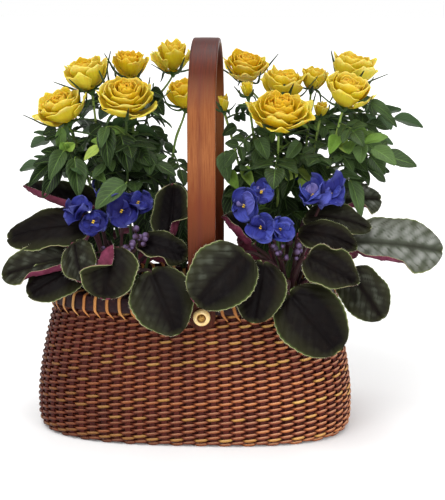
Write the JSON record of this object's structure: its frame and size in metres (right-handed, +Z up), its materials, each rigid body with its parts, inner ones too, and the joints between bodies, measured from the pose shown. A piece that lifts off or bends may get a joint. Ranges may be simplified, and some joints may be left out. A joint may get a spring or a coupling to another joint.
{
  "type": "flower basket arrangement",
  "caption": "Oval woven basket with a bent-wood swing handle, planted with yellow miniature roses standing over blue African violets.",
  "frame": {"origin": "middle of the basket's underside, on the surface that it stands on", "axes": "+Z up, +X to the viewer's right along the basket's length, -Y towards the front, where the handle's knob shows"},
  "size_m": [0.3637, 0.2054, 0.329],
  "materials": {
    "cane": "varnished woven cane",
    "rim_cane": "dark varnished cane",
    "handle_wood": "varnished bent wood",
    "knob_bone": "polished pale wood",
    "pin_brass": "polished",
    "liner": "matte film",
    "soil": "moist peat",
    "rose_green": "satin leaf",
    "rose_petal": "soft petal",
    "violet_leaf": "downy leaf",
    "violet_petal": "soft petal"
  },
  "bodies": {
    "basket": {"basket_shell": "cane", "rim_outer": "rim_cane", "rim_inner": "rim_cane", "knob_front": "knob_bone", "knob_back": "knob_bone", "pin_front": "pin_brass", "pin_back": "pin_brass", "liner": "liner", "soil": "soil", "rose_bush_left": "rose_green", "rose_bush_right": "rose_green", "rose_bloom_01": "rose_petal", "rose_bloom_02": "rose_petal", "rose_bloom_03": "rose_petal", "rose_bloom_04": "rose_petal", "rose_bloom_05": "rose_petal", "rose_bloom_06": "rose_petal", "rose_bloom_07": "rose_petal", "rose_bloom_08": "rose_petal", "rose_bloom_09": "rose_petal", "rose_bloom_10": "rose_petal", "rose_bloom_11": "rose_petal", "rose_bloom_12": "rose_petal", "rose_bloom_13": "rose_petal", "rose_bloom_14": "rose_petal", "rose_bloom_15": "rose_petal", "violet_front_left": "violet_leaf", "violet_front_right": "violet_leaf", "violet_back_left": "violet_leaf", "violet_back_right": "violet_leaf", "violet_flowers_left_outer": "violet_petal", "violet_flowers_left_inner": "violet_petal", "violet_flowers_right_inner": "violet_petal", "violet_flowers_right_low": "violet_petal", "violet_flowers_right_outer": "violet_petal", "violet_flowers_back_left": "violet_petal", "violet_flowers_back_right": "violet_petal"},
    "handle": {"handle": "handle_wood"}
  },
  "joints": [
    {"name": "handle_swing", "type": "hinge", "parent": "basket", "child": "handle", "pos_m": [0.011, 0, 0.1124], "axis": [0, 1, 0], "range_deg": [-9, 9]}
  ]
}
